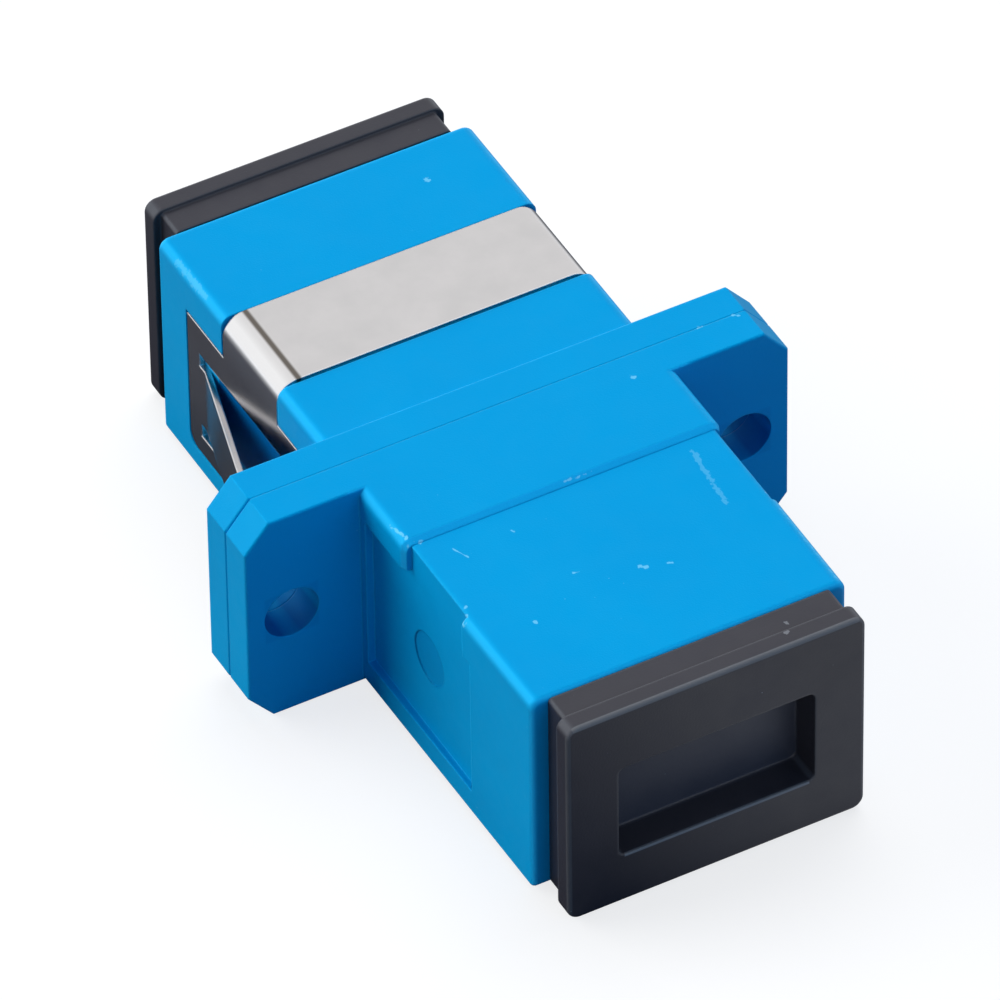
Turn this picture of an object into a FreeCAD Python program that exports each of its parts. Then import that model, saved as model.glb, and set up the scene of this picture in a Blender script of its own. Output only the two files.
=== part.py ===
import FreeCAD, Part
import os
import Sketcher

# A simplex flanged fibre adapter. X runs across the flange, Y along the two ports (the front port
# faces -Y) and Z up. The origin lies under the middle of the flange, at its lower edge.
# All lengths are in millimetres and all angles in degrees.

FRONT = -1
REAR = 1

SIZES = [
    ("port_width", 9.1, "opening for a connector, across"),
    ("port_height", 7.45, "opening for a connector, up"),
    ("port_lead_in", 0.3, "bevel round the mouth of a port"),
    ("side_wall", 2.05, "housing wall beside the port"),
    ("top_wall", 0.925, "housing wall above and below the port"),
    ("half_length", 14.2, "weld plane to the mouth of a port"),
    ("body_edge_round", 0.45, "radius along the body's upper long edges"),
    ("lower_edge_round", 0.12, "radius along the body's lower long edges"),
    ("mouth_edge_round", 0.25, "radius round the body's end"),
    ("flange_thickness", 3.0, "both halves together"),
    ("flange_rise", 0.15, "flange above and below the body"),
    ("ear_width", 4.7, "flange beyond the body's side"),
    ("ear_chamfer_width", 1.0, "bevel of the four ear corners, across"),
    ("ear_chamfer_height", 1.2, "bevel of the four ear corners, up"),
    ("ear_edge_round", 0.1, "radius of the ears' outer edges"),
    ("weld_groove", 0.06, "bevel on each side of the weld seam, at the ears' ends"),
    ("mount_hole_diameter", 2.25, "screw hole in each ear"),
    ("mount_hole_offset", 2.85, "body's side to a screw hole's axis"),
    ("band_length", 3.4, "raised band in front of the flange"),
    ("band_drop", 1.3, "depth of the band down the sides"),
    ("band_slope_rise", 0.13, "slope at the band's front edge, outwards"),
    ("band_slope_run", 0.25, "slope at the band's front edge, along the body"),
    ("rail_height", 1.1, "rail under a side panel"),
    ("rail_width", 0.4, "rail between the flange and a side panel"),
    ("panel_margin", 4.55, "end of a side panel to the mouth"),
    ("panel_depth", 0.33, "side panel below the flange's root"),
    ("draft_angle", 0.5, "slope of the front half's sides"),
    ("ejector_mark_diameter", 2.2, "round mark in each side panel"),
    ("ejector_mark_depth", 0.05, "depth of that mark"),
    ("ejector_mark_station", 6.1, "weld plane to the mark's middle"),
    ("keyway_width", 2.6, "slot for a connector's key"),
    ("keyway_length", 5.0, "slot's run from the mouth"),
    ("flex_room", 0.75, "pocket beside each latch arm"),
    ("flex_height", 4.0, "height of that pocket"),
    ("flex_reach", 0.9, "pocket beyond the end of the arm"),
    ("peg_diameter", 1.0, "locating peg between the halves"),
    ("peg_length", 0.7, "peg's height above the weld plane"),
    ("peg_clearance", 0.05, "gap round and beyond a peg"),
    ("peg_offset", 0.3, "body's side to a peg's axis"),
    ("base_thickness", 1.2, "base plate of an inner latch"),
    ("base_side_lip", 0.75, "base plate beyond the port, each side"),
    ("base_top_lip", 0.2, "base plate beyond the port, above and below"),
    ("base_clearance", 0.05, "gap round a base plate"),
    ("base_corner_round", 0.4, "radius of the base plate's corners"),
    ("sleeve_diameter", 3.2, "outside of the split sleeve"),
    ("sleeve_bore", 2.49, "hole for the ferrules"),
    ("sleeve_length", 11.4, "length of the split sleeve"),
    ("sleeve_slit", 0.4, "gap in the split sleeve"),
    ("sleeve_bevel", 0.15, "bevel at the sleeve's ends"),
    ("sleeve_clearance", 0.05, "gap round the sleeve in its barrels"),
    ("sleeve_end_gap", 0.1, "gap at each end of the sleeve"),
    ("barrel_wall", 0.675, "wall of the barrel round the sleeve"),
    ("barrel_lip", 0.9, "end wall that keeps the sleeve in"),
    ("barrel_mouth", 2.9, "hole in that end wall"),
    ("barrel_bevel", 0.25, "bevel at the barrel's end"),
    ("arm_thickness", 0.8, "latch arm"),
    ("arm_height", 3.2, "latch arm"),
    ("arm_reach", 8.7, "weld plane to the end of a latch arm"),
    ("arm_clearance", 0.05, "gap between a latch arm and the port's wall"),
    ("hook_depth", 0.4, "hook at the end of a latch arm"),
    ("hook_length", 1.1, "catch of the hook"),
    ("hook_ramp", 0.6, "slope at each end of the hook"),
    ("clip_thickness", 0.25, "sheet of the panel clip"),
    ("clip_clearance", 0.1, "gap round the clip's edges"),
    ("clip_rise", 0.1, "clip's strip above the housing's top"),
    ("clip_bend_round", 0.9, "outside radius of the clip's bends"),
    ("strip_width", 4.2, "clip's strip over the top"),
    ("strip_gap", 3.35, "flange to the strip"),
    ("leg_gap", 0.25, "flange to a leg of the clip"),
    ("leg_margin", 2.3, "leg's end to the mouth of the rear port"),
    ("leg_drop", 1.85, "body's top to the top of a leg"),
    ("leg_height", 6.4, "height of a leg"),
    ("leg_corner_round", 0.6, "radius of a leg's lower rear corner"),
    ("window_top_bar", 1.35, "leg above its window"),
    ("window_bottom_bar", 0.85, "leg below its window"),
    ("window_front_bar", 1.0, "leg between its window and the flange"),
    ("window_rear_bar", 0.85, "leg behind its window"),
    ("tongue_slot", 0.65, "gap above and below a tongue"),
    ("tongue_root", 0.45, "tongue's bend before the window's end"),
    ("tongue_flare", 15.5, "angle that a tongue stands out"),
    ("tongue_bend_round", 0.3, "inside radius of a tongue's bend"),
    ("panel_grip", 2.1, "room for a panel between flange and tongue"),
    ("plate_width", 12.25, "outer plate of a dust plug"),
    ("plate_height", 9.5, "outer plate of a dust plug"),
    ("plate_thickness", 0.8, "outer plate of a dust plug"),
    ("plate_corner_round", 0.5, "radius of the plate's corners"),
    ("plate_edge_round", 0.15, "radius of the plate's front edge"),
    ("block_width", 11.6, "block behind the plate"),
    ("block_height", 9.2, "block behind the plate"),
    ("block_length", 1.2, "block behind the plate"),
    ("block_corner_round", 0.2, "radius of the block's corners"),
    ("plug_clearance", 0.05, "gap round the plug in the port"),
    ("plug_mouth_length", 2.5, "full part of the plug in the port"),
    ("plug_tube_length", 5.5, "narrow part of the plug"),
    ("plug_hook_clearance", 0.1, "gap between the narrow part and a hook"),
    ("plug_barrel_clearance", 0.125, "gap between the plug's hollow and the barrel"),
    ("plug_top_wall", 0.9, "wall above and below the plug's hollow"),
    ("plug_floor", 0.8, "wall between the finger pocket and the hollow"),
    ("grip_width", 8.1, "finger pocket in the plate"),
    ("grip_height", 4.35, "finger pocket in the plate"),
    ("grip_drop", 0.25, "plug's middle to the finger pocket's middle"),
    ("grip_depth", 1.4, "finger pocket in the plate"),
    ("grip_corner_round", 0.3, "radius of the finger pocket's corners"),
]

# Places worked out from the driving sizes, as formulas in a second sheet.
PLACES = [
    ("body_side", "Sizes.port_width / 2 + Sizes.side_wall"),
    ("body_half_height", "Sizes.port_height / 2 + Sizes.top_wall"),
    ("axis_height", "body_half_height + Sizes.flange_rise"),
    ("body_top", "axis_height + body_half_height"),
    ("body_bottom", "axis_height - body_half_height"),
    ("flange_side", "body_side + Sizes.ear_width"),
    ("flange_top", "2 * axis_height"),
    ("flange_face", "Sizes.flange_thickness / 2"),
    ("mouth", "Sizes.half_length"),
    ("hole_place", "body_side + Sizes.mount_hole_offset"),
    ("peg_place", "body_side + Sizes.peg_offset"),
    ("nose_side", "body_side - Sizes.half_length * tan(Sizes.draft_angle)"),
    ("panel_side", "body_side - Sizes.panel_depth"),
    ("panel_start", "flange_face + Sizes.rail_width"),
    ("panel_end", "Sizes.half_length - Sizes.panel_margin"),
    ("panel_top", "body_top - Sizes.leg_drop"),
    ("band_end", "flange_face + Sizes.band_length"),
    ("notch_end", "band_end + Sizes.strip_width"),
    ("rail_top", "body_bottom + Sizes.rail_height"),
    ("band_foot", "flange_top - Sizes.band_drop"),
    ("port_side", "Sizes.port_width / 2"),
    ("port_top", "axis_height + Sizes.port_height / 2"),
    ("port_bottom", "axis_height - Sizes.port_height / 2"),
    ("base_side", "port_side + Sizes.base_side_lip"),
    ("base_half_height", "Sizes.port_height / 2 + Sizes.base_top_lip"),
    ("seat_diameter", "Sizes.sleeve_diameter + 2 * Sizes.sleeve_clearance"),
    ("seat_end", "Sizes.sleeve_length / 2 + Sizes.sleeve_end_gap"),
    ("barrel_diameter", "seat_diameter + 2 * Sizes.barrel_wall"),
    ("barrel_end", "seat_end + Sizes.barrel_lip"),
    ("sleeve_end", "Sizes.sleeve_length / 2"),
    ("arm_outside", "port_side - Sizes.arm_clearance"),
    ("arm_inside", "arm_outside - Sizes.arm_thickness"),
    ("hook_inside", "arm_inside - Sizes.hook_depth"),
    ("clip_top", "body_top + Sizes.clip_rise"),
    ("clip_floor", "body_side - Sizes.clip_thickness"),
    ("clip_inner_round", "Sizes.clip_bend_round - Sizes.clip_thickness"),
    ("clip_gap", "Sizes.clip_clearance"),
    ("strip_floor", "clip_top - Sizes.clip_thickness"),
    ("strip_start", "flange_face + Sizes.strip_gap"),
    ("strip_end", "strip_start + Sizes.strip_width"),
    ("leg_start", "flange_face + Sizes.leg_gap"),
    ("leg_end", "Sizes.half_length - Sizes.leg_margin"),
    ("leg_top", "body_top - Sizes.leg_drop"),
    ("leg_bottom", "leg_top - Sizes.leg_height"),
    ("window_top", "leg_top - Sizes.window_top_bar"),
    ("window_bottom", "leg_bottom + Sizes.window_bottom_bar"),
    ("window_start", "leg_start + Sizes.window_front_bar"),
    ("window_end", "leg_end - Sizes.window_rear_bar"),
    ("tongue_bend", "window_end - Sizes.tongue_root"),
    ("tongue_crease", "tongue_bend + Sizes.clip_thickness * tan(Sizes.tongue_flare / 2)"),
    ("tongue_tip", "flange_face + Sizes.panel_grip"),
    ("tongue_top", "window_top - Sizes.tongue_slot"),
    ("tongue_bottom", "window_bottom + Sizes.tongue_slot"),
    ("tongue_reach", "clip_floor + (tongue_bend - tongue_tip) * tan(Sizes.tongue_flare)"),
    ("plug_side", "port_side - Sizes.plug_clearance"),
    ("plug_half_height", "Sizes.port_height / 2 - Sizes.plug_clearance"),
    ("plug_mouth_end", "Sizes.half_length - Sizes.plug_mouth_length"),
    ("tube_end", "plug_mouth_end - Sizes.plug_tube_length"),
    ("tube_side", "hook_inside - Sizes.plug_hook_clearance"),
    ("hollow_side", "barrel_diameter / 2 + Sizes.plug_barrel_clearance"),
    ("hollow_half_height", "plug_half_height - Sizes.plug_top_wall"),
    ("plate_back", "Sizes.half_length + Sizes.block_length"),
    ("plate_front", "plate_back + Sizes.plate_thickness"),
    ("grip_floor", "plate_front - Sizes.grip_depth"),
    ("grip_middle", "axis_height - Sizes.grip_drop"),
    ("hollow_end", "grip_floor - Sizes.plug_floor"),
]

TOLERANCE = 1e-4
CUT_MARGIN = 1.0


def fill_sheet(doc, name, rows):
    """Add a spreadsheet with one aliased value in column B for each row."""
    sheet = doc.addObject("Spreadsheet::Sheet", name)
    for number, row in enumerate(rows, start=1):
        sheet.set("A" + str(number), row[0])
        sheet.set("B" + str(number), str(row[1]))
        sheet.setAlias("B" + str(number), row[0])
        if len(row) > 2:
            sheet.set("C" + str(number), row[2])
    doc.recompute()
    return sheet


def new_body(doc, label):
    body = doc.addObject("PartDesign::Body", label)
    body.Label = label
    return body


def origin_part(body, role):
    return next(item for item in body.Origin.OriginFeatures if item.Role == role)


def start_sketch(body, name, role, station):
    """Add a sketch parallel to an origin plane, at a signed station along the plane's axis."""
    sketch = body.newObject("Sketcher::SketchObject", name)
    sketch.AttachmentSupport = [(origin_part(body, role), "")]
    sketch.MapMode = "FlatFace"
    # The normal of the XZ plane points to -Y, so its offset has the opposite sign.
    sign = "-1" if role == "XZ_Plane" else "1"
    sketch.setExpression("AttachmentOffset.Base.z", sign + " * (" + str(station) + ")")
    return sketch


def fix_point(sketch, line, end, across, along):
    """Hold a point of the sketch at two distances from the sketch's origin."""
    for kind, distance in (("DistanceX", across), ("DistanceY", along)):
        index = sketch.addConstraint(Sketcher.Constraint(kind, -1, 1, line, end, 1.0))
        sketch.setExpression("Constraints[" + str(index) + "]", str(distance))


def add_outline(sketch, corners):
    """Add a closed outline. Its corners are pairs of expressions."""
    first = sketch.GeometryCount
    count = len(corners)
    turn = FreeCAD.Rotation(FreeCAD.Vector(0, 0, 1), 360.0 / count)
    start = FreeCAD.Vector(1, 0, 0)
    for _ in range(count):
        end = turn.multVec(start)
        sketch.addGeometry(Part.LineSegment(start, end), False)
        start = end
    for number, (across, along) in enumerate(corners):
        following = first + (number + 1) % count
        sketch.addConstraint(Sketcher.Constraint("Coincident", first + number, 2, following, 1))
        fix_point(sketch, first + number, 1, across, along)


def add_rectangle(sketch, left, right, low, high):
    add_outline(sketch, [(left, low), (right, low), (right, high), (left, high)])


def add_circle(sketch, across, along, diameter):
    circle = Part.Circle(FreeCAD.Vector(1, 1, 0), FreeCAD.Vector(0, 0, 1), 1.0)
    index = sketch.addGeometry(circle, False)
    fix_point(sketch, index, 3, across, along)
    constraint = sketch.addConstraint(Sketcher.Constraint("Diameter", index, 2.0))
    sketch.setExpression("Constraints[" + str(constraint) + "]", str(diameter))


def extrude(body, kind, name, sketch, length, reverse):
    """Pad or pocket a sketch. A pad runs along the sketch's normal and a pocket against it."""
    feature = body.newObject("PartDesign::" + kind, name)
    feature.Profile = sketch
    feature.setExpression("Length", str(length))
    feature.Reversed = reverse
    return feature


def pad(body, name, sketch, length, reverse=False):
    feature = extrude(body, "Pad", name, sketch, length, reverse)
    body.Document.recompute()
    return feature


def pocket(body, name, sketch, length, reverse=False):
    """Cut a sketch out of the body, and make sure that it did remove material."""
    before = body.Shape.Volume
    feature = extrude(body, "Pocket", name, sketch, length, reverse)
    body.Document.recompute()
    if body.Shape.Volume > before - TOLERANCE:
        raise RuntimeError(body.Label + ": " + name + " cuts nothing")
    return feature


def mirror_across(body, name, originals):
    """Repeat features on the other side of the plane x = 0."""
    feature = body.newObject("PartDesign::Mirrored", name)
    feature.Originals = originals
    feature.MirrorPlane = (origin_part(body, "YZ_Plane"), [""])
    body.Tip = feature
    body.Document.recompute()
    return feature


def edge_names(shape, wanted):
    """List the names of a shape's edges for which wanted(edge) is true."""
    return ["Edge" + str(n) for n, edge in enumerate(shape.Edges, start=1) if wanted(edge)]


def spans(piece):
    """Give the lowest and highest x, y and z of an edge or a face."""
    box = piece.BoundBox
    return ((box.XMin, box.XMax), (box.YMin, box.YMax), (box.ZMin, box.ZMax))


def lies_at(piece, axis, value):
    """Tell whether a whole edge or face keeps one coordinate. axis is 0, 1 or 2 for x, y or z."""
    low, high = spans(piece)[axis]
    return abs(low - value) < TOLERANCE * 10 and abs(high - value) < TOLERANCE * 10


def ends_at(piece, axis, value):
    """Tell whether an edge or a face runs along an axis and has one end at a value."""
    low, high = spans(piece)[axis]
    near_end = min(abs(low - value), abs(high - value)) < TOLERANCE * 10
    return near_end and high - low > TOLERANCE * 10


def is_corner_edge(edge, half_width, level, end):
    """Tell whether the edge runs along Y at x = +-half_width and z = level, up to y = end."""
    at_side = lies_at(edge, 0, half_width) or lies_at(edge, 0, -half_width)
    return at_side and lies_at(edge, 2, level) and ends_at(edge, 1, end)


def dress_up(body, kind, name, prop, amount, wanted):
    """Fillet or chamfer the edges of the body's tip for which wanted(edge) is true."""
    base = body.Tip
    names = edge_names(base.Shape, wanted)
    feature = body.newObject("PartDesign::" + kind, name)
    feature.Base = (base, names)
    feature.setExpression(prop, str(amount))
    body.Document.recompute()
    return feature


def round_edges(body, name, radius, wanted):
    return dress_up(body, "Fillet", name, "Radius", radius, wanted)


def bevel_edges(body, name, size, wanted):
    return dress_up(body, "Chamfer", name, "Size", size, wanted)


# ---- housing halves ------------------------------------------------------------------------------

def flange_half(body, side, at):
    """Half of the flange: a plate with bevelled ear corners, from the weld plane to its outer face."""
    sketch = start_sketch(body, "flange_outline", "XZ_Plane", 0)
    across = "Sizes.ear_chamfer_width"
    up = "Sizes.ear_chamfer_height"
    right = "Places.flange_side"
    top = "Places.flange_top"
    add_outline(sketch, [
        ("-" + right + " + " + across, 0),
        (right + " - " + across, 0),
        (right, up),
        (right, top + " - " + up),
        (right + " - " + across, top),
        ("-" + right + " + " + across, top),
        ("-" + right, top + " - " + up),
        ("-" + right, up),
    ])
    pad(body, "flange", sketch, "Places.flange_face", side == REAR)
    round_edges(body, "ear_edges", "Sizes.ear_edge_round",
                lambda edge: lies_at(edge, 1, side * at.flange_face))

    def at_ear_end(edge):
        left, right = spans(edge)[0]
        return left * right > 0

    bevel_edges(body, "weld_seam", "Sizes.weld_groove",
                lambda edge: lies_at(edge, 1, 0) and at_ear_end(edge))


def round_long_edges(body, side, at):
    """Round the body's long edges, the upper ones more than the lower ones."""
    for name, radius, level in (("upper_edges", "Sizes.body_edge_round", at.body_top),
                                ("lower_edges", "Sizes.lower_edge_round", at.body_bottom)):
        round_edges(body, name, radius,
                    lambda edge: lies_at(edge, 2, level) and ends_at(edge, 1, side * at.mouth))


def rectangle_corners(half_width, low, high):
    return [
        ("-" + half_width, low),
        (half_width, low),
        (half_width, high),
        ("-" + half_width, high),
    ]


def front_shell(body, at):
    """Outside of the front half: drafted sides, a raised band, and a panel sunk in each side."""
    plan = start_sketch(body, "body_plan", "XY_Plane", "Places.body_bottom")
    add_outline(plan, [
        ("-Places.body_side", 0),
        ("Places.body_side", 0),
        ("Places.nose_side", "-Places.mouth"),
        ("-Places.nose_side", "-Places.mouth"),
    ])
    pad(body, "body", plan, "2 * Places.body_half_height")
    round_long_edges(body, FRONT, at)

    band = start_sketch(body, "band_section", "XZ_Plane", 0)
    add_outline(band, rectangle_corners("Places.body_side", "Places.band_foot", "Places.flange_top"))
    pad(body, "band", band, "Places.band_end")
    round_edges(body, "band_edges", "Sizes.body_edge_round",
                lambda edge: is_corner_edge(edge, at.body_side, at.flange_top, -at.band_end))

    side_panel(body)
    slope_band(body, at)


def slope_band(body, at):
    """Slope the front edge of the band. The bevel follows the band's rounded corners by itself."""
    slope = bevel_edges(body, "band_slope", "Sizes.band_slope_rise",
                        lambda edge: lies_at(edge, 1, -at.band_end) and lies_at(edge, 2, at.flange_top))
    slope.ChamferType = "Two distances"
    slope.FlipDirection = True
    slope.setExpression("Size2", "Sizes.band_slope_run")
    body.Document.recompute()


def side_panel(body):
    """Sink a panel into both sides. It runs under the band, and a notch takes it out at the top."""
    outline = start_sketch(body, "panel_outline", "YZ_Plane", "Places.panel_side")
    above = "Places.flange_top + " + str(CUT_MARGIN)
    add_outline(outline, [
        ("-Places.panel_start", "Places.rail_top"),
        ("-Places.panel_end", "Places.rail_top"),
        ("-Places.panel_end", "Places.panel_top"),
        ("-Places.notch_end", "Places.panel_top"),
        ("-Places.notch_end", above),
        ("-Places.band_end", above),
        ("-Places.band_end", "Places.band_foot"),
        ("-Places.panel_start", "Places.band_foot"),
    ])
    panel = pocket(body, "panel", outline, CUT_MARGIN, True)
    mirror_across(body, "panel_pair", [panel])

    spot = start_sketch(body, "ejector_outline", "YZ_Plane", "Places.panel_side")
    add_circle(spot, "-Sizes.ejector_mark_station", "Places.axis_height", "Sizes.ejector_mark_diameter")
    mark = pocket(body, "ejector_mark", spot, "Sizes.ejector_mark_depth")
    mirror_across(body, "ejector_mark_pair", [mark])


def rear_shell(body, at):
    """Outside of the rear half: a plain box with a channel all round the top for the panel clip."""
    section = start_sketch(body, "body_section", "XZ_Plane", 0)
    add_outline(section, rectangle_corners("Places.body_side", "Places.body_bottom", "Places.body_top"))
    pad(body, "body", section, "Places.mouth", True)
    round_long_edges(body, REAR, at)
    strip_channel(body, at)
    leg_recess(body, at)


def saddle_corners(outside, top, inside, under, foot):
    """Section of a sheet bent over the body: a top between two legs."""
    return [
        ("-" + outside, foot),
        ("-" + outside, top),
        (outside, top),
        (outside, foot),
        (inside, foot),
        (inside, under),
        ("-" + inside, under),
        ("-" + inside, foot),
    ]


def strip_channel(body, at):
    """Cut the channel for the clip's strip over the top and both upper edges."""
    gap = "Sizes.clip_clearance"
    section = start_sketch(body, "channel_section", "XZ_Plane", "Places.strip_start - " + gap)
    outside = "(Places.body_side + " + str(CUT_MARGIN) + ")"
    above = "Places.body_top + " + str(CUT_MARGIN)
    add_outline(section, saddle_corners(outside, above, "Places.clip_floor", "Places.strip_floor",
                                        "Places.leg_top"))
    pocket(body, "strip_channel", section, "Sizes.strip_width + 2 * " + gap)
    round_edges(body, "channel_edges", "Places.clip_inner_round",
                lambda edge: is_corner_edge(edge, at.clip_floor, at.strip_floor,
                                            at.strip_start - at.clip_gap))


def leg_recess(body, at):
    """Cut the shallow recess for the clip's legs into both sides."""
    gap = " Sizes.clip_clearance"
    outline = start_sketch(body, "recess_outline", "YZ_Plane", "Places.clip_floor")
    add_rectangle(outline, "Places.leg_start -" + gap, "Places.leg_end +" + gap,
                  "Places.leg_bottom -" + gap, "Places.leg_top +" + gap)
    recess = pocket(body, "leg_recess", outline, CUT_MARGIN, True)
    mirror_across(body, "leg_recess_pair", [recess])
    round_edges(body, "recess_corners", "Sizes.leg_corner_round",
                lambda edge: lies_at(edge, 1, at.leg_end + at.clip_gap)
                and lies_at(edge, 2, at.leg_bottom - at.clip_gap))


def port_cavity(body, side, at):
    """Inside of a half: the port, the seat of the inner latch, and room for its arms to spread."""
    outward = side == FRONT
    port = start_sketch(body, "port_outline", "XZ_Plane", str(side) + " * Places.mouth")
    add_rectangle(port, "-Places.port_side", "Places.port_side", "Places.port_bottom", "Places.port_top")
    pocket(body, "port", port, "Places.mouth", not outward)

    keyway = start_sketch(body, "keyway_outline", "XZ_Plane", str(side) + " * Places.mouth")
    add_rectangle(keyway, "-Sizes.keyway_width / 2", "Sizes.keyway_width / 2",
                  -CUT_MARGIN, "Places.axis_height")
    pocket(body, "keyway", keyway, "Sizes.keyway_length", not outward)

    seat = start_sketch(body, "latch_seat_outline", "XZ_Plane", 0)
    seat_side = "(Places.base_side + Sizes.base_clearance)"
    seat_half = "(Places.base_half_height + Sizes.base_clearance)"
    add_rectangle(seat, "-" + seat_side, seat_side,
                  "Places.axis_height - " + seat_half, "Places.axis_height + " + seat_half)
    pocket(body, "latch_seat", seat, "Sizes.base_thickness + Sizes.base_clearance", outward)

    flex = start_sketch(body, "flex_outline", "XZ_Plane", 0)
    flex_side = "(Places.port_side + Sizes.flex_room)"
    add_rectangle(flex, "-" + flex_side, flex_side, "Places.axis_height - Sizes.flex_height / 2",
                  "Places.axis_height + Sizes.flex_height / 2")
    pocket(body, "flex_pockets", flex, "Sizes.arm_reach + Sizes.flex_reach", outward)


def ear_holes(body, side):
    """Cut the screw hole through each ear."""
    sketch = start_sketch(body, "ear_hole_outline", "XZ_Plane", 0)
    for ear in (-1, 1):
        add_circle(sketch, str(ear) + " * Places.hole_place", "Places.axis_height",
                   "Sizes.mount_hole_diameter")
    pocket(body, "ear_holes", sketch, "Places.flange_face + " + str(CUT_MARGIN), side == FRONT)


def locating_peg(body, side):
    """Add a peg beside the latch's seat, and a socket for the other half's peg."""
    socket = start_sketch(body, "socket_outline", "XZ_Plane", 0)
    add_circle(socket, str(-side) + " * Places.peg_place", "Places.axis_height",
               "Sizes.peg_diameter + 2 * Sizes.peg_clearance")
    pocket(body, "socket", socket, "Sizes.peg_length + Sizes.peg_clearance", side == FRONT)
    peg = start_sketch(body, "peg_outline", "XZ_Plane", 0)
    add_circle(peg, str(side) + " * Places.peg_place", "Places.axis_height", "Sizes.peg_diameter")
    pad(body, "peg", peg, "Sizes.peg_length", side == FRONT)


def finish_mouth(body, side, at):
    """Bevel the inner edge of the port's mouth and round the outer one."""
    def on_mouth(edge):
        return lies_at(edge, 1, side * at.mouth)

    def on_port(edge):
        at_side = lies_at(edge, 0, at.port_side) or lies_at(edge, 0, -at.port_side)
        return on_mouth(edge) and (at_side or lies_at(edge, 2, at.port_top))

    def on_outside(edge):
        left, right = spans(edge)[0]
        beyond_port = max(abs(left), abs(right)) > at.port_side + TOLERANCE
        return on_mouth(edge) and (beyond_port or lies_at(edge, 2, at.body_top))

    bevel_edges(body, "mouth_lead_in", "Sizes.port_lead_in", on_port)
    round_edges(body, "mouth_rim", "Sizes.mouth_edge_round", on_outside)


def housing_half(doc, label, side, at):
    body = new_body(doc, label)
    flange_half(body, side, at)
    if side == FRONT:
        front_shell(body, at)
    else:
        rear_shell(body, at)
    port_cavity(body, side, at)
    ear_holes(body, side)
    locating_peg(body, side)
    finish_mouth(body, side, at)
    return body


# ---- panel clip ----------------------------------------------------------------------------------

def panel_clip(doc, at):
    """One folded sheet: a strip over the top, two legs, and a tongue cut and flared from each leg."""
    body = new_body(doc, "panel_clip")
    section = start_sketch(body, "folded_section", "XZ_Plane", "Places.leg_start")
    add_outline(section, saddle_corners("Places.body_side", "Places.clip_top", "Places.clip_floor",
                                        "Places.strip_floor", "Places.leg_bottom"))
    pad(body, "folded_sheet", section, "Places.leg_end - Places.leg_start", True)
    round_edges(body, "outer_bends", "Sizes.clip_bend_round",
                lambda edge: is_corner_edge(edge, at.body_side, at.clip_top, at.leg_end))
    round_edges(body, "inner_bends", "Places.clip_inner_round",
                lambda edge: is_corner_edge(edge, at.clip_floor, at.strip_floor, at.leg_end))
    trim_strip(body)
    cut_windows(body)
    round_edges(body, "leg_corners", "Sizes.leg_corner_round",
                lambda edge: lies_at(edge, 1, at.leg_end) and lies_at(edge, 2, at.leg_bottom))
    flare_tongues(body, at)
    return body


def side_cut(body, name, outline):
    """Cut an outline, drawn on the YZ plane, through the whole width of the body."""
    outline.setExpression("AttachmentOffset.Base.z", "-Places.body_side - " + str(CUT_MARGIN))
    pocket(body, name, outline, "2 * Places.body_side + 2 * " + str(CUT_MARGIN), True)


def trim_strip(body):
    """Narrow the sheet above the legs to the strip."""
    outline = start_sketch(body, "trim_outline", "YZ_Plane", 0)
    above = "Places.body_top + " + str(CUT_MARGIN)
    add_rectangle(outline, "Places.leg_start - " + str(CUT_MARGIN), "Places.strip_start",
                  "Places.leg_top", above)
    add_rectangle(outline, "Places.strip_end", "Places.leg_end + " + str(CUT_MARGIN),
                  "Places.leg_top", above)
    side_cut(body, "strip_trim", outline)


def cut_windows(body):
    """Cut the window that each tongue is freed from."""
    outline = start_sketch(body, "window_outline", "YZ_Plane", 0)
    add_rectangle(outline, "Places.window_start", "Places.window_end",
                  "Places.window_bottom", "Places.window_top")
    side_cut(body, "windows", outline)


def flare_tongues(body, at):
    """Add the tongues: they leave the window's rear end and stand out towards the flange."""
    plan = start_sketch(body, "tongue_plan", "XY_Plane", "Places.tongue_bottom")
    sheet = "Sizes.clip_thickness"
    flare = "(Sizes.tongue_flare)"
    add_outline(plan, [
        ("Places.clip_floor", "Places.window_end"),
        ("Places.clip_floor", "Places.tongue_bend"),
        ("Places.tongue_reach", "Places.tongue_tip"),
        ("Places.tongue_reach + " + sheet + " * cos" + flare,
         "Places.tongue_tip + " + sheet + " * sin" + flare),
        ("Places.body_side", "Places.tongue_crease"),
        ("Places.body_side", "Places.window_end"),
    ])
    tongue = pad(body, "tongue", plan, "Places.tongue_top - Places.tongue_bottom")
    mirror_across(body, "tongue_pair", [tongue])

    def is_bend(edge, side, station):
        at_side = lies_at(edge, 0, side) or lies_at(edge, 0, -side)
        return at_side and lies_at(edge, 1, station) and ends_at(edge, 2, at.tongue_top)

    round_edges(body, "tongue_bends_inside", "Sizes.tongue_bend_round",
                lambda edge: is_bend(edge, at.body_side, at.tongue_crease))
    round_edges(body, "tongue_bends_outside", "Sizes.tongue_bend_round + Sizes.clip_thickness",
                lambda edge: is_bend(edge, at.clip_floor, at.tongue_bend))


# ---- inner latches and sleeve --------------------------------------------------------------------

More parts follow.
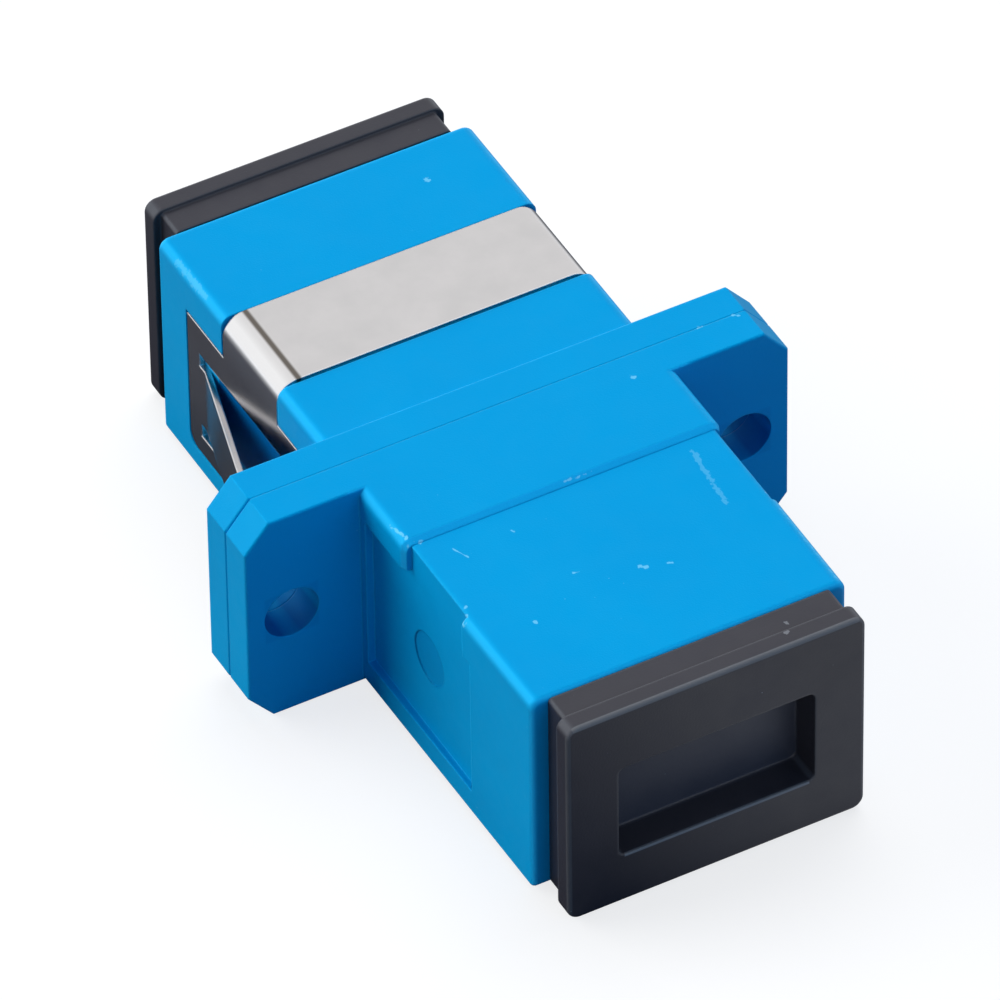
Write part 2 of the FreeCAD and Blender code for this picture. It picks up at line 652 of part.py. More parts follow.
def inner_latch(doc, label, side, at):
    """Base plate with half of the sleeve's barrel and two hooked arms that hold a connector."""
    body = new_body(doc, label)
    outward = side == REAR
    base = start_sketch(body, "base_outline", "XZ_Plane", 0)
    add_rectangle(base, "-Places.base_side", "Places.base_side",
                  "Places.axis_height - Places.base_half_height",
                  "Places.axis_height + Places.base_half_height")
    pad(body, "base", base, "Sizes.base_thickness", outward)
    round_edges(body, "base_corners", "Sizes.base_corner_round", lambda edge: ends_at(edge, 1, 0))

    barrel = start_sketch(body, "barrel_outline", "XZ_Plane", 0)
    add_circle(barrel, 0, "Places.axis_height", "Places.barrel_diameter")
    pad(body, "barrel", barrel, "Places.barrel_end", outward)
    bevel_edges(body, "barrel_nose", "Sizes.barrel_bevel",
                lambda edge: lies_at(edge, 1, side * at.barrel_end))

    seat = start_sketch(body, "sleeve_seat_outline", "XZ_Plane", 0)
    add_circle(seat, 0, "Places.axis_height", "Places.seat_diameter")
    pocket(body, "sleeve_seat", seat, "Places.seat_end", not outward)
    mouth = start_sketch(body, "ferrule_hole_outline", "XZ_Plane", 0)
    add_circle(mouth, 0, "Places.axis_height", "Sizes.barrel_mouth")
    pocket(body, "ferrule_hole", mouth, "Places.barrel_end + " + str(CUT_MARGIN), not outward)
    latch_arms(body, side)
    return body


def latch_arms(body, side):
    """Add the two arms. Each hook slopes in at its tip and out again behind its catch."""
    plan = start_sketch(body, "arm_plan", "XY_Plane", "Places.axis_height - Sizes.arm_height / 2")
    along = str(side) + " * "
    crest_end = "(Sizes.arm_reach - Sizes.hook_ramp)"
    crest_start = "(" + crest_end + " - Sizes.hook_length)"
    root = along + "Sizes.base_thickness / 2"
    add_outline(plan, [
        ("Places.arm_outside", root),
        ("Places.arm_outside", along + "Sizes.arm_reach"),
        ("Places.arm_inside", along + "Sizes.arm_reach"),
        ("Places.hook_inside", along + crest_end),
        ("Places.hook_inside", along + crest_start),
        ("Places.arm_inside", along + "(" + crest_start + " - Sizes.hook_depth)"),
        ("Places.arm_inside", root),
    ])
    arm = pad(body, "arm", plan, "Sizes.arm_height")
    mirror_across(body, "arm_pair", [arm])


def alignment_sleeve(doc, at):
    """Thin tube, slit along its whole length, that lines up the two ferrules."""
    body = new_body(doc, "alignment_sleeve")
    half = "(Sizes.sleeve_length / 2)"
    ring = start_sketch(body, "ring", "XZ_Plane", "-" + half)
    add_circle(ring, 0, "Places.axis_height", "Sizes.sleeve_diameter")
    add_circle(ring, 0, "Places.axis_height", "Sizes.sleeve_bore")
    pad(body, "tube", ring, "Sizes.sleeve_length", True)
    bevel_edges(body, "end_bevels", "Sizes.sleeve_bevel",
                lambda edge: any(lies_at(edge, 1, end * at.sleeve_end) for end in (-1, 1)))
    slit = start_sketch(body, "slit_outline", "XZ_Plane", "-" + half)
    add_rectangle(slit, "-Sizes.sleeve_slit / 2", "Sizes.sleeve_slit / 2",
                  "Places.axis_height", "Places.axis_height + Sizes.sleeve_diameter")
    pocket(body, "slit", slit, "Sizes.sleeve_length", False)
    return body


# ---- dust plugs ----------------------------------------------------------------------------------

def plug_stretch(body, name, side, start, end, half_width, low, high):
    """Add one rectangular stretch of a dust plug between two distances from the weld plane."""
    sketch = start_sketch(body, name + "_outline", "XZ_Plane", str(side) + " * " + start)
    add_rectangle(sketch, "-" + half_width, half_width, low, high)
    return pad(body, name, sketch, end + " - " + start, side == REAR)


def dust_plug(doc, label, side, at):
    """Cap with a plate, a block that meets the housing, and a hollow plug round the barrel."""
    body = new_body(doc, label)
    middle = "Places.axis_height"
    plug_stretch(body, "plate", side, "Places.plate_back", "Places.plate_front",
                 "Sizes.plate_width / 2", middle + " - Sizes.plate_height / 2",
                 middle + " + Sizes.plate_height / 2")
    round_edges(body, "plate_corners", "Sizes.plate_corner_round",
                lambda edge: ends_at(edge, 1, side * at.plate_front))
    round_edges(body, "plate_rim", "Sizes.plate_edge_round",
                lambda edge: lies_at(edge, 1, side * at.plate_front))
    plug_stretch(body, "block", side, "Places.mouth", "Places.plate_back",
                 "Sizes.block_width / 2", middle + " - Sizes.block_height / 2",
                 middle + " + Sizes.block_height / 2")
    round_edges(body, "block_corners", "Sizes.block_corner_round",
                lambda edge: ends_at(edge, 1, side * at.mouth))
    plug_stretch(body, "plug", side, "Places.plug_mouth_end", "Places.mouth",
                 "Places.plug_side", middle + " - Places.plug_half_height",
                 middle + " + Places.plug_half_height")
    plug_stretch(body, "tube", side, "Places.tube_end", "Places.plug_mouth_end",
                 "Places.tube_side", middle + " - Places.plug_half_height",
                 middle + " + Places.plug_half_height")
    hollow_plug(body, side)
    finger_pocket(body, side, at)
    return body


def hollow_plug(body, side):
    """Hollow the plug from its inner end, so that it goes over the barrel."""
    sketch = start_sketch(body, "hollow_outline", "XZ_Plane", str(side) + " * Places.tube_end")
    add_rectangle(sketch, "-Places.hollow_side", "Places.hollow_side",
                  "Places.axis_height - Places.hollow_half_height",
                  "Places.axis_height + Places.hollow_half_height")
    pocket(body, "hollow", sketch, "Places.hollow_end - Places.tube_end", side == FRONT)


def finger_pocket(body, side, at):
    """Sink a shallow pocket into the plate, for a fingernail."""
    sketch = start_sketch(body, "grip_outline", "XZ_Plane", str(side) + " * Places.plate_front")
    add_rectangle(sketch, "-Sizes.grip_width / 2", "Sizes.grip_width / 2",
                  "Places.grip_middle - Sizes.grip_height / 2",
                  "Places.grip_middle + Sizes.grip_height / 2")
    pocket(body, "grip", sketch, "Sizes.grip_depth", side == REAR)

    def pocket_corner(edge):
        return ends_at(edge, 1, side * at.grip_floor) and ends_at(edge, 1, side * at.plate_front)

    round_edges(body, "grip_corners", "Sizes.grip_corner_round", pocket_corner)


# ---- document ------------------------------------------------------------------------------------

def check_document(doc, bodies):
    """Stop if any object failed to compute or any sub-part is not one sound solid."""
    for item in doc.Objects:
        if "Invalid" in item.State or "Error" in item.State:
            raise RuntimeError(item.Name + " failed: " + str(item.State))
    for body in bodies:
        shape = body.Shape
        if shape.isNull() or not shape.isValid() or len(shape.Solids) != 1:
            raise RuntimeError(body.Label + " is not one valid solid")


def build():
    doc = FreeCAD.newDocument("fibre_adapter")
    fill_sheet(doc, "Sizes", SIZES)
    at = fill_sheet(doc, "Places", [(alias, "=" + formula) for alias, formula in PLACES])
    bodies = [
        housing_half(doc, "housing_front", FRONT, at),
        housing_half(doc, "housing_rear", REAR, at),
        panel_clip(doc, at),
        inner_latch(doc, "front_inner_latch", FRONT, at),
        inner_latch(doc, "rear_inner_latch", REAR, at),
        alignment_sleeve(doc, at),
        dust_plug(doc, "front_dust_plug", FRONT, at),
        dust_plug(doc, "rear_dust_plug", REAR, at),
    ]
    doc.recompute()
    check_document(doc, bodies)
    os.makedirs("parts", exist_ok=True)
    for body in bodies:
        body.Shape.exportStep("parts/" + body.Label + ".step")
        print(body.Label, round(body.Shape.Volume, 2), "mm3")


build()
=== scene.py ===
import math

import bpy
from mathutils import Euler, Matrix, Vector


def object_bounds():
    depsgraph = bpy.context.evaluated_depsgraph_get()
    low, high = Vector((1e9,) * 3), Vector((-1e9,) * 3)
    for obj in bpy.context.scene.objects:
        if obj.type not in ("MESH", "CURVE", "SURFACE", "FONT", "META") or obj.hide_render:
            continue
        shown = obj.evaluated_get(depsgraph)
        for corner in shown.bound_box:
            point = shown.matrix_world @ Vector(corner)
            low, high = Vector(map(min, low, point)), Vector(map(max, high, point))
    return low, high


MM = 0.001

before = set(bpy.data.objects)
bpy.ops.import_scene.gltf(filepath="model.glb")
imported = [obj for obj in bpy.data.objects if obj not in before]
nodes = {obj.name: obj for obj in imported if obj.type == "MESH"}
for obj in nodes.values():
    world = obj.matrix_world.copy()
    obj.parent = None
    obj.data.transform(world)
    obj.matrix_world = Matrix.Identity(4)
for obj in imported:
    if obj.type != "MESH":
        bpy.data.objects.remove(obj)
cad_low, cad_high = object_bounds()


# ---- material helpers ------------------------------------------------------------------------

class Graph:
    """A material with one Principled shader, and short ways to add the nodes that feed it."""

    def __init__(self, name, **sockets):
        self.material = bpy.data.materials.new(name)
        self.material.use_nodes = True
        self.tree = self.material.node_tree
        self.shader = self.tree.nodes["Principled BSDF"]
        for key, value in sockets.items():
            self.shader.inputs[key.replace("_", " ")].default_value = value
        self.place = self.add("ShaderNodeTexCoord").outputs["Object"]
        self.ragged = self.noise(0.18, 3.0, shift=3.0)

    def add(self, kind, **settings):
        node = self.tree.nodes.new(kind)
        for key, value in settings.items():
            setattr(node, key, value)
        return node

    def link(self, source, target):
        self.tree.links.new(source, target)

    def feed(self, target, value):
        """Set a socket to a number or colour, or link it to another socket."""
        if isinstance(value, bpy.types.NodeSocket):
            self.link(value, target)
        else:
            target.default_value = value

    def noise(self, size_mm, detail=2.0, stretch=(1, 1, 1), shift=0.0):
        """Smooth noise from 0 to 1 with features about size_mm wide."""
        mapping = self.add("ShaderNodeMapping")
        mapping.inputs["Scale"].default_value = [1 / s for s in stretch]
        mapping.inputs["Location"].default_value = (shift, shift, shift)
        self.link(self.place, mapping.inputs["Vector"])
        texture = self.add("ShaderNodeTexNoise")
        texture.inputs["Scale"].default_value = 1 / (size_mm * MM)
        texture.inputs["Detail"].default_value = detail
        self.link(mapping.outputs["Vector"], texture.inputs["Vector"])
        return texture.outputs["Fac"]

    def ramp(self, value, low, high, out_low=0.0, out_high=1.0):
        """Map a value's range low to high onto out_low to out_high, clamped."""
        node = self.add("ShaderNodeMapRange")
        for socket, number in zip(("From Min", "From Max", "To Min", "To Max"),
                                  (low, high, out_low, out_high)):
            node.inputs[socket].default_value = number
        self.link(value, node.inputs["Value"])
        return node.outputs["Result"]

    def math(self, operation, first, second=0.0):
        node = self.add("ShaderNodeMath", operation=operation)
        self.feed(node.inputs[0], first)
        self.feed(node.inputs[1], second)
        return node.outputs["Value"]

    def mix(self, share, first, second):
        """Blend two colours."""
        node = self.add("ShaderNodeMix", data_type="RGBA")
        self.feed(node.inputs["Factor"], share)
        self.feed(node.inputs[6], first)
        self.feed(node.inputs[7], second)
        return node.outputs[2]

    def bump(self, height, depth_mm, strength=1.0, normal=None):
        node = self.add("ShaderNodeBump")
        node.inputs["Strength"].default_value = strength
        node.inputs["Distance"].default_value = depth_mm * MM
        self.link(height, node.inputs["Height"])
        if normal is not None:
            self.link(normal, node.inputs["Normal"])
        return node.outputs["Normal"]

    def axes(self, vector):
        """The three coordinates of a vector, without their signs."""
        split = self.add("ShaderNodeSeparateXYZ")
        self.link(vector, split.inputs["Vector"])
        return [self.math("ABSOLUTE", split.outputs[key]) for key in "XYZ"]

    def inside(self, low_mm, high_mm, soft_mm=0.1):
        """1 inside a box and its image on the other side of the middle plane."""
        split = self.add("ShaderNodeSeparateXYZ")
        self.link(self.place, split.inputs["Vector"])
        across = self.math("ABSOLUTE", split.outputs["X"])
        share = 1.0
        for value, low, high in zip((across, split.outputs["Y"], split.outputs["Z"]),
                                    low_mm, high_mm):
            share = self.math("MULTIPLY", share, self.ramp(value, (low - soft_mm) * MM, low * MM))
            share = self.math("MULTIPLY", share, self.ramp(value, (high + soft_mm) * MM, high * MM))
        return share

    def near(self, centre_mm, radius_mm, soft_mm=0.06):
        """1 inside a ball."""
        away = self.add("ShaderNodeVectorMath", operation="DISTANCE")
        self.link(self.place, away.inputs[0])
        away.inputs[1].default_value = Vector(centre_mm) * MM
        return self.ramp(away.outputs["Value"], (radius_mm + soft_mm) * MM, radius_mm * MM)

    def rounded(self, half_width_mm):
        """1 on the body's rounded corners, where the surface faces none of the main ways."""
        x, y, z = self.axes(self.add("ShaderNodeTexCoord").outputs["Normal"])
        corner = self.ramp(self.math("MAXIMUM", self.math("MAXIMUM", x, y), z), 0.985, 0.85)
        within = self.ramp(self.axes(self.place)[0], (half_width_mm + 0.2) * MM, half_width_mm * MM)
        return self.math("MULTIPLY", corner, within)

    def scratch(self, start, end, width_mm):
        """1 in a ragged mark along a line between two points given in millimetres."""
        first, last = Vector(start) * MM, Vector(end) * MM
        away = self.add("ShaderNodeVectorMath", operation="DISTANCE")
        self.link(self.place, away.inputs[0])
        away.inputs[1].default_value = (first + last) / 2
        reach = away.outputs["Value"]
        run = last - first
        if run.length > 0:
            along = self.add("ShaderNodeVectorMath", operation="SUBTRACT")
            self.link(self.place, along.inputs[0])
            along.inputs[1].default_value = (first + last) / 2
            part = self.add("ShaderNodeVectorMath", operation="DOT_PRODUCT")
            self.link(along.outputs["Vector"], part.inputs[0])
            part.inputs[1].default_value = run.normalized()
            beyond = self.math("SUBTRACT", self.math("ABSOLUTE", part.outputs["Value"]),
                               run.length / 2)
            beyond = self.math("MAXIMUM", beyond, 0.0)
            square = self.math("MULTIPLY", part.outputs["Value"], part.outputs["Value"])
            across = self.math("SUBTRACT", self.math("MULTIPLY", reach, reach), square)
            across = self.math("SQRT", self.math("MAXIMUM", across, 0.0))
            reach = self.math("ADD", across, beyond)
        ragged = self.ramp(self.ragged, 0.35, 0.65, -0.5 * width_mm * MM, 0.4 * width_mm * MM)
        return self.ramp(self.math("ADD", reach, ragged), 0.6 * width_mm * MM, 0.4 * width_mm * MM)

    def edge(self, radius_mm, samples=6):
        """Return the normal of softly rounded edges, and a mask that is 1 on them."""
        bevel = self.add("ShaderNodeBevel", samples=samples)
        bevel.inputs["Radius"].default_value = radius_mm * MM
        flat = self.add("ShaderNodeNewGeometry").outputs["Normal"]
        turn = self.add("ShaderNodeVectorMath", operation="DOT_PRODUCT")
        self.link(bevel.outputs["Normal"], turn.inputs[0])
        self.link(flat, turn.inputs[1])
        return bevel.outputs["Normal"], self.ramp(turn.outputs["Value"], 0.985, 0.86)


BODY_REACH = 7.0            # millimetres from the middle plane to beyond the body's sides


def moulded(name, tint, level, colour, dark, edge_highlight, pale, roughness, grain_mm, edge_mm, marks=(),
            shades=(), discs=(), streaks_and_highlights=()):
    """Moulded plastic: a faint flow of tone, fine grain, a painted highlight along its edges and
    small pale nicks.

    marks and streaks_and_highlights are (start, end, width), shades are (low corner, high corner,
    colour, softness) and discs are (centre, radius, colour), all in millimetres. Some marks and
    streaks are painted highlights; shades are painted shade and painted light, discs darker spots.
    """
    g = Graph(name, Specular_Tint=tint, Specular_IOR_Level=level)
    normal, edge = g.edge(edge_mm)
    flow = g.noise(5.0, 2.0, (1, 2, 1))
    tone = g.mix(g.ramp(flow, 0.35, 0.7), dark, colour)
    # Painted highlight: bevelled edges and rounded corners get a lighter colour.
    edge_highlight_mask = g.math("MAXIMUM", edge, g.rounded(BODY_REACH))
    # The painted edge highlight leaves out the weld seam at the middle of the flange.
    edge_highlight_mask = g.math("MULTIPLY", edge_highlight_mask, g.ramp(g.axes(g.place)[1], 0.15 * MM, 0.3 * MM, 0.0, 0.8))
    tone = g.mix(edge_highlight_mask, tone, edge_highlight)

    # Painted shade and painted light at fixed places: darker or lighter boxes, then darker discs.
    for low_corner, high_corner, shade, soft_mm in shades:
        tone = g.mix(g.inside(low_corner, high_corner, soft_mm), tone, shade)
    for centre, radius_mm, shade in discs:
        tone = g.mix(g.near(centre, radius_mm), tone, shade)

    nick = g.ramp(g.noise(0.5, 3.0), 0.74, 0.79)
    nick = g.math("MULTIPLY", nick, edge)
    speck = g.ramp(g.noise(0.16, 1.0, shift=7.0), 0.82, 0.85)
    # Real nicks and specks, and the listed marks and streaks, some of which are painted highlights.
    wear_and_highlights = g.math("MAXIMUM", nick, speck)
    for start, end, width_mm in marks:
        wear_and_highlights = g.math("MAXIMUM", wear_and_highlights, g.scratch(start, end, width_mm))
    # Faint streaks at 0.4 of full strength, among them painted highlights along edges.
    for start, end, width_mm in streaks_and_highlights:
        wear_and_highlights = g.math("MAXIMUM", wear_and_highlights, g.math("MULTIPLY", g.scratch(start, end, width_mm), 0.4))
    g.link(g.mix(g.math("MULTIPLY", wear_and_highlights, 0.6), tone, pale), g.shader.inputs["Base Color"])

    rough = g.ramp(g.noise(1.2, 4.0), 0.3, 0.7, roughness - 0.05, roughness + 0.06)
    g.link(rough, g.shader.inputs["Roughness"])
    grain = g.bump(g.noise(grain_mm, 2.0), 0.01, 0.5, normal)
    swell = g.bump(g.noise(3.0, 1.0), 0.03, 0.35, grain)
    g.link(swell, g.shader.inputs["Normal"])
    return g


# ---- materials -------------------------------------------------------------------------------

# Marks of handling on the blue housing: nicks at the corners of the raised band and of the side
# recesses, at the weld seam on the right ear, and a few specks and fine scratches on top.
HOUSING_MARKS = (
    ((-6.6, -3.0, 9.5), (-6.3, -4.6, 9.6), 0.10),
    ((-6.4, -4.7, 9.35), (-5.9, -4.85, 9.45), 0.16),
    ((0.1, -4.75, 9.58), (1.3, -4.78, 9.58), 0.08),
    ((-6.55, -9.15, 9.2), (-6.35, -8.95, 9.45), 0.22),
    ((-6.2, -8.7, 9.45), (-6.05, -8.6, 9.45), 0.10),
    ((6.6, -9.0, 9.1), (6.35, -8.75, 9.4), 0.24),
    ((-2.75, -5.95, 9.45), (-2.7, -6.05, 9.45), 0.10),
    ((-5.05, -5.75, 9.45), (-4.78, -6.42, 9.45), 0.05),
    ((-1.9, -9.0, 9.45), (-1.65, -9.05, 9.45), 0.08),
    ((0.35, -9.85, 9.45), (0.6, -10.05, 9.45), 0.12),
    ((1.35, -10.2, 9.45), (1.5, -10.3, 9.45), 0.09),
    ((-4.28, -10.5, 9.45), (-4.28, -10.6, 9.45), 0.10),
    ((4.9, -1.1, 9.6), (5.0, -1.2, 9.6), 0.16),
    ((9.75, 0.0, 9.6), (9.95, -0.15, 9.6), 0.09),
    ((8.3, 0.0, 9.6), (8.5, 0.0, 9.6), 0.10),
    ((10.1, -0.4, 9.5), (10.1, -1.2, 9.5), 0.05),
    ((3.6, 12.2, 9.45), (3.72, 12.1, 9.45), 0.14),
    ((-10.4, -1.2, 8.6), (-10.6, -1.4, 8.4), 0.12),
)

# Painted shade, darker where shadow falls: the floor of the clip's recess behind the tongues, the
# walls of the screw holes and the line where a side panel ends.
HOUSING_SHADES = (
    ((6.2, 2.5, 2.9), (6.42, 9.9, 6.5), (0.0003, 0.11, 0.33, 1), 0.1),
    ((8.4, -1.42, 3.75), (10.5, 1.42, 5.85), (0.0003, 0.16, 0.45, 1), 0.1),
    ((6.15, -9.68, 1.1), (6.45, -9.60, 6.7), (0.0003, 0.20, 0.48, 1), 0.04),
)
# The ejector marks in the side panels are painted a darker blue.
HOUSING_DISCS = (
    ((-6.22, -6.1, 4.8), 1.12, (0.0003, 0.27, 0.59, 1)),
    ((6.22, -6.1, 4.8), 1.12, (0.0003, 0.27, 0.59, 1)),
)
# Faint wide light streaks: one on top by the right edge, and painted highlights along the body's
# upper edges.
HOUSING_STREAKS_AND_HIGHLIGHTS = (
    ((5.0, -5.5, 9.45), (4.7, -8.5, 9.45), 0.16),
    ((6.40, -9.2, 9.32), (6.36, -13.8, 9.32), 0.22),
    ((-6.45, 12.9, 9.3), (-6.45, 10.6, 9.3), 0.20),
)

# After the two base blues comes the light blue of the painted edge highlight, then the pale nicks.
blue = moulded("blue_plastic", (0, 0.7, 1, 1), 0.3, (0.0003, 0.333, 0.680, 1),
               (0.0003, 0.317, 0.662, 1), (0.012, 0.46, 0.88, 1), (0.22, 0.68, 0.92, 1),
               0.42, 0.07, 0.10, HOUSING_MARKS, HOUSING_SHADES, HOUSING_DISCS, HOUSING_STREAKS_AND_HIGHLIGHTS)

# Pale marks on the front plug: a painted highlight along the plate's back top edge, and a few
# specks.
PLUG_MARKS_AND_HIGHLIGHT = (
    ((-3.4, -15.4, 9.46), (-1.2, -15.4, 9.46), 0.06),
    ((0.0, -15.5, 9.5), (0.1, -15.5, 9.5), 0.09),
    ((3.2, -15.5, 9.5), (3.25, -15.6, 9.5), 0.14),
    ((3.5, -14.9, 9.4), (3.55, -15.0, 9.4), 0.1),
)

# Painted light: the floors of the finger pockets are painted a little lighter, and painted
# highlights run along the front plate's top and side edges and the lip under its pocket.
PLUG_SHADES = (
    ((0.0, -14.88, 2.4), (4.0, -14.7, 6.7), (0.044, 0.043, 0.056, 1), 0.1),
    ((0.0, 14.7, 2.4), (4.0, 14.88, 6.7), (0.044, 0.043, 0.056, 1), 0.1),
    ((0.0, -16.3, 2.27), (3.8, -16.12, 2.36), (0.17, 0.175, 0.19, 1), 0.03),
    ((0.0, -16.3, 9.42), (5.85, -16.06, 9.6), (0.11, 0.113, 0.122, 1), 0.04),
    ((6.0, -16.3, 0.4), (6.2, -16.06, 9.2), (0.062, 0.064, 0.074, 1), 0.04),
)

# After the two base blacks comes the grey of the painted edge highlight, then the pale nicks.
black = moulded("black_plastic", (1, 1, 1, 1), 0.5, (0.0225, 0.0222, 0.031, 1),
                (0.0200, 0.0197, 0.0275, 1), (0.062, 0.066, 0.08, 1), (0.24, 0.25, 0.27, 1),
                0.45, 0.09, 0.15, PLUG_MARKS_AND_HIGHLIGHT, PLUG_SHADES)

natural = moulded("natural_plastic", (1, 1, 1, 1), 0.5, (0.78, 0.77, 0.72, 1),
                  (0.74, 0.73, 0.68, 1), (0.82, 0.81, 0.77, 1), (0.9, 0.9, 0.88, 1),
                  0.48, 0.08, 0.08)


CREASE_X = 5.66 * MM       # where the strip starts to bend down, on the left
BEND_X = 5.7 * MM
STRIP_TOP = 9.55 * MM


def rolled_steel():
    """Bright rolled spring sheet: fine lines along the strip, faint blotches, painted highlights on
    its edges and on the bend at the left end, and a dark brown line painted along the left crease.
    """
    g = Graph("spring_steel", Metallic=1.0)
    normal, edge = g.edge(0.09)
    blotch = g.noise(1.6, 3.0)
    tone = g.mix(g.ramp(blotch, 0.3, 0.75), (0.60, 0.59, 0.595, 1), (0.65, 0.635, 0.64, 1))
    split = g.add("ShaderNodeSeparateXYZ")
    g.link(g.place, split.inputs["Vector"])
    side, height = split.outputs["X"], split.outputs["Z"]
    # Painted highlight: the bend at the strip's left end, fading down the leg and weaker on the top
    # face.
    bend = g.math("MULTIPLY", g.ramp(side, -BEND_X, -BEND_X - 0.1 * MM),
                  g.ramp(height, STRIP_TOP - 2.15 * MM, STRIP_TOP - 0.75 * MM))
    bend = g.math("MULTIPLY", bend,
                  g.ramp(height, STRIP_TOP + 0.01 * MM, STRIP_TOP - 0.15 * MM, 0.25, 1.0))
    # Painted highlight: edges and the left bend take a near-white colour.
    tone = g.mix(g.math("MAXIMUM", edge, bend), tone, (0.86, 0.86, 0.87, 1))
    # A dark brown line painted along the crease where the strip starts to bend at its left end.
    off_crease = g.math("ABSOLUTE", g.math("ADD", side, CREASE_X))
    crease = g.math("MULTIPLY", g.ramp(off_crease, 0.16 * MM, 0.06 * MM),
                    g.ramp(height, STRIP_TOP - 0.25 * MM, STRIP_TOP - 0.15 * MM))
    g.link(g.mix(crease, tone, (0.15, 0.135, 0.12, 1)), g.shader.inputs["Base Color"])
    lines = g.noise(0.05, 2.0, (1, 40, 1))
    rough = g.ramp(blotch, 0.3, 0.7, 0.14, 0.20)
    g.link(rough, g.shader.inputs["Roughness"])
    g.link(g.bump(lines, 0.002, 0.3, normal), g.shader.inputs["Normal"])
    return g


def zirconia():
    g = Graph("zirconia")
    tone = g.mix(g.noise(0.6, 3.0), (0.86, 0.85, 0.81, 1), (0.91, 0.90, 0.87, 1))
    g.link(tone, g.shader.inputs["Base Color"])
    g.link(g.ramp(g.noise(0.3, 2.0), 0.3, 0.7, 0.14, 0.22), g.shader.inputs["Roughness"])
    g.link(g.bump(g.noise(0.05, 2.0), 0.002, 0.3), g.shader.inputs["Normal"])
    return g


steel = rolled_steel()
ceramic = zirconia()

FINISHES = {
    "housing_front": blue,
    "housing_rear": blue,
    "panel_clip": steel,
    "front_inner_latch": natural,
    "rear_inner_latch": natural,
    "alignment_sleeve": ceramic,
    "front_dust_plug": black,
    "rear_dust_plug": black,
}
for name, graph in FINISHES.items():
    for material_slot in nodes[name].material_slots:
        material_slot.material = graph.material


# ---- floor, lights and camera ----------------------------------------------------------------

def seen_rays(tree):
    """Return a mask that is 1 for rays from the camera, a reflection or glass, and one for the
    camera's rays alone."""
    path = tree.nodes.new("ShaderNodeLightPath")
    value = path.outputs["Is Camera Ray"]
    for name in ("Is Glossy Ray", "Is Transmission Ray"):
        larger = tree.nodes.new("ShaderNodeMath")
        larger.operation = "MAXIMUM"
        tree.links.new(value, larger.inputs[0])
        tree.links.new(path.outputs[name], larger.inputs[1])
        value = larger.outputs["Value"]
    return value, path.outputs["Is Camera Ray"]


FLOOR_DROP = 0.05 * MM       # keeps the floor clear of the flange's lower edge
FLOOR_GLOW = 0.77            # with the lamps on its own colour, this brings the floor to white


def white_ground():
    """A big white floor that keeps the object's soft shadow.

    In reflections it is dark close round the object, except in front of it to the right: a painted
    shadow, which only mirrored rays see.
    """
    bpy.ops.mesh.primitive_plane_add(size=6, location=(0, 0, cad_low.z - FLOOR_DROP))
    floor = bpy.context.object
    floor.name = "floor"
    g = Graph("floor_white", Roughness=1.0, Specular_IOR_Level=0.0)
    g.shader.inputs["Emission Color"].default_value = (1, 1, 1, 1)
    seen, from_camera = seen_rays(g.tree)
    distance = g.add("ShaderNodeVectorMath", operation="LENGTH")
    g.link(g.place, distance.inputs[0])
    split = g.add("ShaderNodeSeparateXYZ")
    g.link(g.place, split.inputs["Vector"])
    front_right = g.math("MULTIPLY", g.ramp(split.outputs["X"], -0.004, 0.004),
                         g.ramp(split.outputs["Y"], -0.013, -0.017, 0.0, 0.7))
    away = g.math("MAXIMUM", g.ramp(distance.outputs["Value"], 0.025, 0.08), front_right)
    # Painted shadow: mirrored rays see a darker floor without glow close round the object.
    mirrored = g.math("SUBTRACT", seen, from_camera)
    near = g.math("MULTIPLY", mirrored, g.math("SUBTRACT", 1.0, away))
    g.link(g.mix(near, (0.26, 0.26, 0.26, 1), (0.08, 0.08, 0.09, 1)), g.shader.inputs["Base Color"])
    shown = g.math("MAXIMUM", from_camera, g.math("MULTIPLY", seen, away))
    g.link(g.math("MULTIPLY", shown, FLOOR_GLOW), g.shader.inputs["Emission Strength"])
    floor.data.materials.append(g.material)


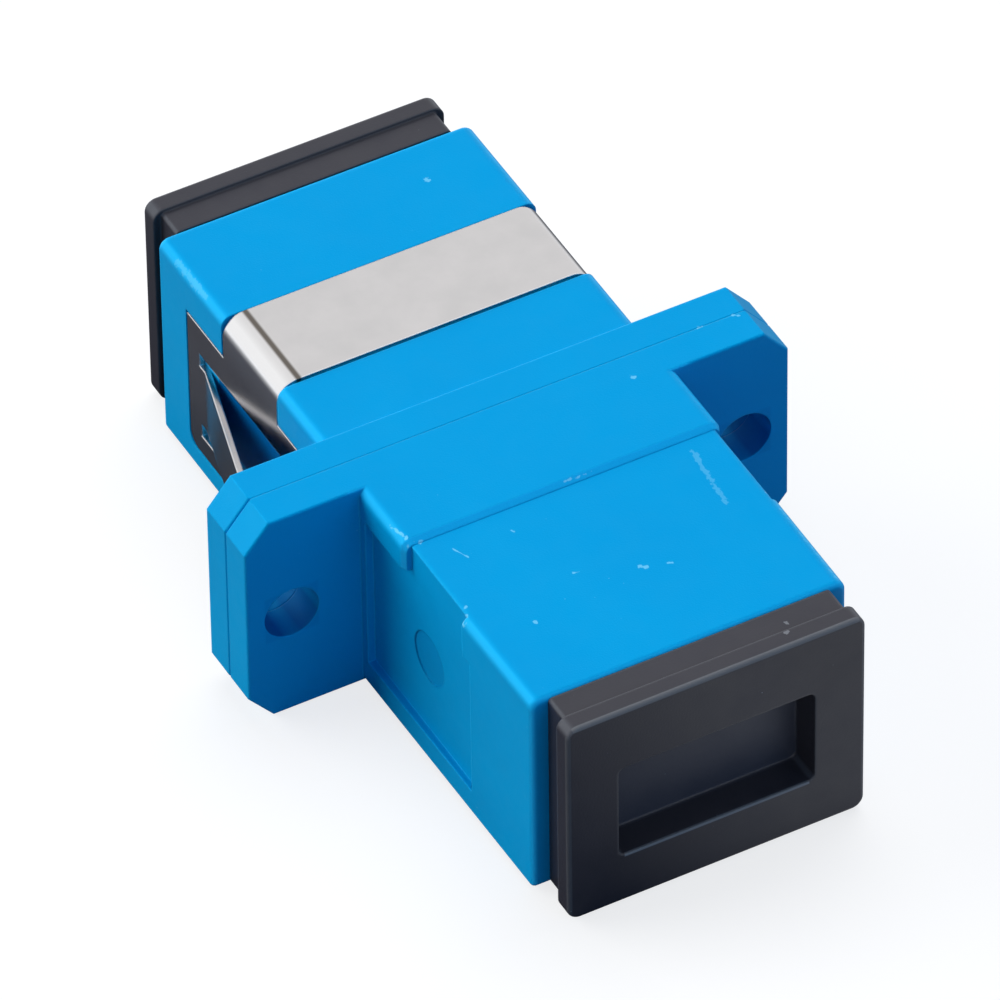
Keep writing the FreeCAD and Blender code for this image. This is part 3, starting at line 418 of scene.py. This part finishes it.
def soft_light(name, azimuth, elevation, level, spread, colour=(1, 1, 1)):
    """A far soft box that no surface mirrors. level is what it adds to a white face towards it."""
    a, e = math.radians(azimuth), math.radians(elevation)
    back = Vector((math.sin(a) * math.cos(e), -math.cos(a) * math.cos(e), math.sin(e)))
    data = bpy.data.lights.new(name, "SUN")
    data.energy = level * math.pi
    data.angle = math.radians(spread)
    data.color = colour
    lamp = bpy.data.objects.new(name, data)
    lamp.visible_glossy = False
    lamp.location = middle + back * LAMP_DISTANCE
    lamp.rotation_euler = back.to_track_quat("Z", "Y").to_euler()
    bpy.context.scene.collection.objects.link(lamp)


LAMP_DISTANCE = 0.3

middle = (cad_low + cad_high) / 2
white_ground()
soft_light("top_box", 140, 62, 0.62, 50)
soft_light("left_box", -132, 16, 1.12, 60, (1, 1, 0.96))
soft_light("front_fill", 8, 20, 0.32, 80, (0.20, 0.55, 1.0))

world = bpy.data.worlds.new("studio")
bpy.context.scene.world = world
world.use_nodes = True
sky = world.node_tree
fill = sky.nodes["Background"]
fill.inputs["Color"].default_value = (0.55, 0.68, 1.0, 1)
fill.inputs["Strength"].default_value = 0.16
backdrop = sky.nodes.new("ShaderNodeBackground")
backdrop.inputs["Color"].default_value = (1, 1, 1, 1)
choose = sky.nodes.new("ShaderNodeMixShader")
sky.links.new(seen_rays(sky)[0], choose.inputs["Fac"])
sky.links.new(fill.outputs["Background"], choose.inputs[1])
sky.links.new(backdrop.outputs["Background"], choose.inputs[2])
sky.links.new(choose.outputs["Shader"], sky.nodes["World Output"].inputs["Surface"])

# The camera stands where the photographer's did, seen from this object, and turns to face it.
CAMERA_PLACE = (-0.1750, -0.3265, 0.3537)
CAMERA_ROLL = math.radians(-0.85)

camera_data = bpy.data.cameras.new("camera")
camera = bpy.data.objects.new("camera", camera_data)
camera.location = CAMERA_PLACE
toward = camera.location - middle
turn = toward.to_track_quat("Z", "Y")
camera.rotation_euler = (turn @ Euler((0, 0, CAMERA_ROLL)).to_quaternion()).to_euler()
camera_data.lens = 500
camera_data.sensor_width = 36
camera_data.clip_start = 0.01
camera_data.clip_end = 20
bpy.context.scene.collection.objects.link(camera)
bpy.context.scene.camera = camera
bpy.context.scene.view_settings.view_transform = "Standard"
